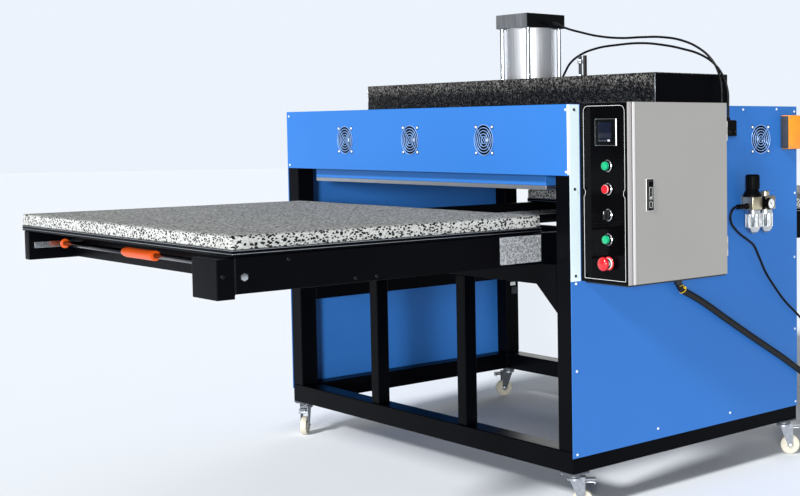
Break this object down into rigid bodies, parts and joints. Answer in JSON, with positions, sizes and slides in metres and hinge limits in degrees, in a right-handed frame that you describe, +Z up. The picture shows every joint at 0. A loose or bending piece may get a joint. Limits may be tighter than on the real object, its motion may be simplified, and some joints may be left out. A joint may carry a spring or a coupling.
{
  "type": "double-station heat transfer press",
  "caption": "Large-format pneumatic flatbed heat press on casters: a heated platen in a box-tube frame and two padded drawers sliding out front and rear, with a side control box.",
  "frame": {"origin": "on the floor, under the middle of the press's overall width and depth (control box included, both drawers out)", "axes": "+X to the control box's side, +Y from the front drawer to the rear drawer, +Z up"},
  "size_m": [2.767, 4.774, 2.375],
  "materials": {
    "black_enamel": "semi-gloss black enamel",
    "black_hose": "satin",
    "black_plastic": "satin",
    "black_rubber": "matt",
    "brass": "satin",
    "cast_aluminium": "die-cast, matt",
    "chrome_bar": "mirror",
    "clear_plastic": "clear",
    "cream_nylon": "moulded",
    "glossy_black": "gloss black enamel",
    "green_plastic": "gloss",
    "ground_steel": "ground",
    "light_blue": "smooth light blue enamel",
    "mid_blue": "smooth blue enamel",
    "nickel": "satin nickel",
    "orange_grip": "satin",
    "orange_plastic": "satin",
    "plate_aluminium": "milled",
    "polished_barrel": "polished",
    "red_plastic": "gloss",
    "speckled_felt": "speckled felt",
    "textured_black": "fine textured black powder coat",
    "warm_grey": "light grey powder coat",
    "white_plastic": "satin",
    "zinc": "bright zinc"
  },
  "bodies": {
    "frame": {"base_frame": "black_enamel", "posts": "black_enamel", "cross_beams": "black_enamel", "top_frame": "black_enamel", "beam_cover": "textured_black", "end_panels": "light_blue", "side_panels": "mid_blue", "slide_rails": "glossy_black", "guide_tracks": "ground_steel", "cylinder_caps": "cast_aluminium", "cylinder_barrel": "polished_barrel", "tie_rods": "ground_steel", "fan_guards": "black_plastic", "box_shell": "warm_grey", "control_panel": "textured_black", "temperature_controller": "white_plastic", "air_unit": "black_plastic", "filter_bowls": "clear_plastic", "junction_box": "orange_plastic", "air_hoses": "black_hose", "supply_hose": "black_hose", "supply_coil": "black_hose", "hose_coupler": "brass", "power_cable": "black_rubber", "power_coil": "black_rubber", "power_plug": "red_plastic", "hose_fittings": "nickel", "caster_plates": "zinc"},
    "platen": {"heater_plate": "plate_aluminium", "platen_cover": "light_blue", "guide_rods": "ground_steel", "piston_rod": "chrome_bar"},
    "front_drawer": {"front_table": "glossy_black", "front_pad": "speckled_felt", "front_handle": "chrome_bar", "front_grip": "orange_grip"},
    "rear_drawer": {"rear_table": "glossy_black", "rear_pad": "speckled_felt", "rear_handle": "chrome_bar", "rear_grip": "orange_grip"},
    "left_rotor": {"left_fan_rotor": "black_plastic"},
    "middle_rotor": {"middle_fan_rotor": "black_plastic"},
    "right_rotor": {"right_fan_rotor": "black_plastic"},
    "side_rotor": {"side_fan_rotor": "black_plastic"},
    "door": {"box_door": "warm_grey"},
    "latch": {"door_latch": "white_plastic"},
    "start_cap": {"start_button": "green_plastic"},
    "stop_cap": {"stop_button": "red_plastic"},
    "reset_cap": {"reset_button": "green_plastic"},
    "selector": {"selector_knob": "black_plastic"},
    "emergency_cap": {"emergency_stop": "red_plastic"},
    "pressure_knob": {"regulator_knob": "black_plastic"},
    "fork_fl": {"caster_fork_fl": "zinc"},
    "wheel_fl": {"caster_wheel_fl": "cream_nylon"},
    "fork_fr": {"caster_fork_fr": "zinc"},
    "wheel_fr": {"caster_wheel_fr": "cream_nylon"},
    "fork_rl": {"caster_fork_rl": "zinc"},
    "wheel_rl": {"caster_wheel_rl": "cream_nylon"},
    "fork_rr": {"caster_fork_rr": "zinc"},
    "wheel_rr": {"caster_wheel_rr": "cream_nylon"}
  },
  "joints": [
    {"name": "platen_lift", "type": "slide", "parent": "frame", "child": "platen", "axis": [0, 0, -1], "range_m": [0, 0.1097]},
    {"name": "front_drawer_slide", "type": "slide", "parent": "frame", "child": "front_drawer", "axis": [0, 1, 0], "range_m": [0, 1.575]},
    {"name": "rear_drawer_slide", "type": "slide", "parent": "frame", "child": "rear_drawer", "axis": [0, 1, 0], "range_m": [-1.575, 0]},
    {"name": "left_fan_spin", "type": "hinge", "parent": "frame", "child": "left_rotor", "pos_m": [-0.7675, -0.77, 1.7], "axis": [0, 1, 0], "continuous": true},
    {"name": "middle_fan_spin", "type": "hinge", "parent": "frame", "child": "middle_rotor", "pos_m": [-0.1575, -0.77, 1.7], "axis": [0, 1, 0], "continuous": true},
    {"name": "right_fan_spin", "type": "hinge", "parent": "frame", "child": "right_rotor", "pos_m": [0.4525, -0.77, 1.7], "axis": [0, 1, 0], "continuous": true},
    {"name": "side_fan_spin", "type": "hinge", "parent": "frame", "child": "side_rotor", "pos_m": [1.0325, 0.505, 1.69], "axis": [1, 0, 0], "continuous": true},
    {"name": "door_hinge", "type": "hinge", "parent": "frame", "child": "door", "pos_m": [1.3705, -0.0907, 1.4655], "axis": [0, 0, 1], "range_deg": [0, 110]},
    {"name": "latch_turn", "type": "hinge", "parent": "door", "child": "latch", "pos_m": [1.3745, -0.604, 1.457], "axis": [1, 0, 0], "range_deg": [0, 90]},
    {"name": "start_press", "type": "slide", "parent": "frame", "child": "start_cap", "axis": [0, 1, 0], "range_m": [0, 0.004], "stiffness_N_per_m": 600},
    {"name": "stop_press", "type": "slide", "parent": "frame", "child": "stop_cap", "axis": [0, 1, 0], "range_m": [0, 0.004], "stiffness_N_per_m": 600},
    {"name": "reset_press", "type": "slide", "parent": "frame", "child": "reset_cap", "axis": [0, 1, 0], "range_m": [0, 0.004], "stiffness_N_per_m": 600},
    {"name": "emergency_press", "type": "slide", "parent": "frame", "child": "emergency_cap", "axis": [0, 1, 0], "range_m": [0, 0.004], "stiffness_N_per_m": 600},
    {"name": "selector_turn", "type": "hinge", "parent": "frame", "child": "selector", "pos_m": [1.2505, -0.745, 1.37], "axis": [0, 1, 0], "range_deg": [-45, 45]},
    {"name": "pressure_turn", "type": "hinge", "parent": "frame", "child": "pressure_knob", "pos_m": [1.1425, 0.356, 1.47], "axis": [0, 0, 1], "range_deg": [-180, 180]},
    {"name": "swivel_fl", "type": "hinge", "parent": "frame", "child": "fork_fl", "pos_m": [-1.3295, -0.747, 0.17], "axis": [0, 0, 1], "continuous": true},
    {"name": "wheel_spin_fl", "type": "hinge", "parent": "fork_fl", "child": "wheel_fl", "pos_m": [-1.30475, -0.77175, 0.052], "axis": [0.7071, 0.7071, 0], "continuous": true},
    {"name": "swivel_fr", "type": "hinge", "parent": "frame", "child": "fork_fr", "pos_m": [1.0145, -0.747, 0.17], "axis": [0, 0, 1], "continuous": true},
    {"name": "wheel_spin_fr", "type": "hinge", "parent": "fork_fr", "child": "wheel_fr", "pos_m": [1.03925, -0.72225, 0.052], "axis": [-0.7071, 0.7071, 0], "continuous": true},
    {"name": "swivel_rl", "type": "hinge", "parent": "frame", "child": "fork_rl", "pos_m": [-1.3295, 0.747, 0.17], "axis": [0, 0, 1], "continuous": true},
    {"name": "wheel_spin_rl", "type": "hinge", "parent": "fork_rl", "child": "wheel_rl", "pos_m": [-1.34147, 0.71411, 0.052], "axis": [0.9397, -0.342, 0], "continuous": true},
    {"name": "swivel_rr", "type": "hinge", "parent": "frame", "child": "fork_rr", "pos_m": [1.0145, 0.747, 0.17], "axis": [0, 0, 1], "continuous": true},
    {"name": "wheel_spin_rr", "type": "hinge", "parent": "fork_rr", "child": "wheel_rr", "pos_m": [1.03925, 0.77175, 0.052], "axis": [-0.7071, 0.7071, 0], "continuous": true}
  ]
}
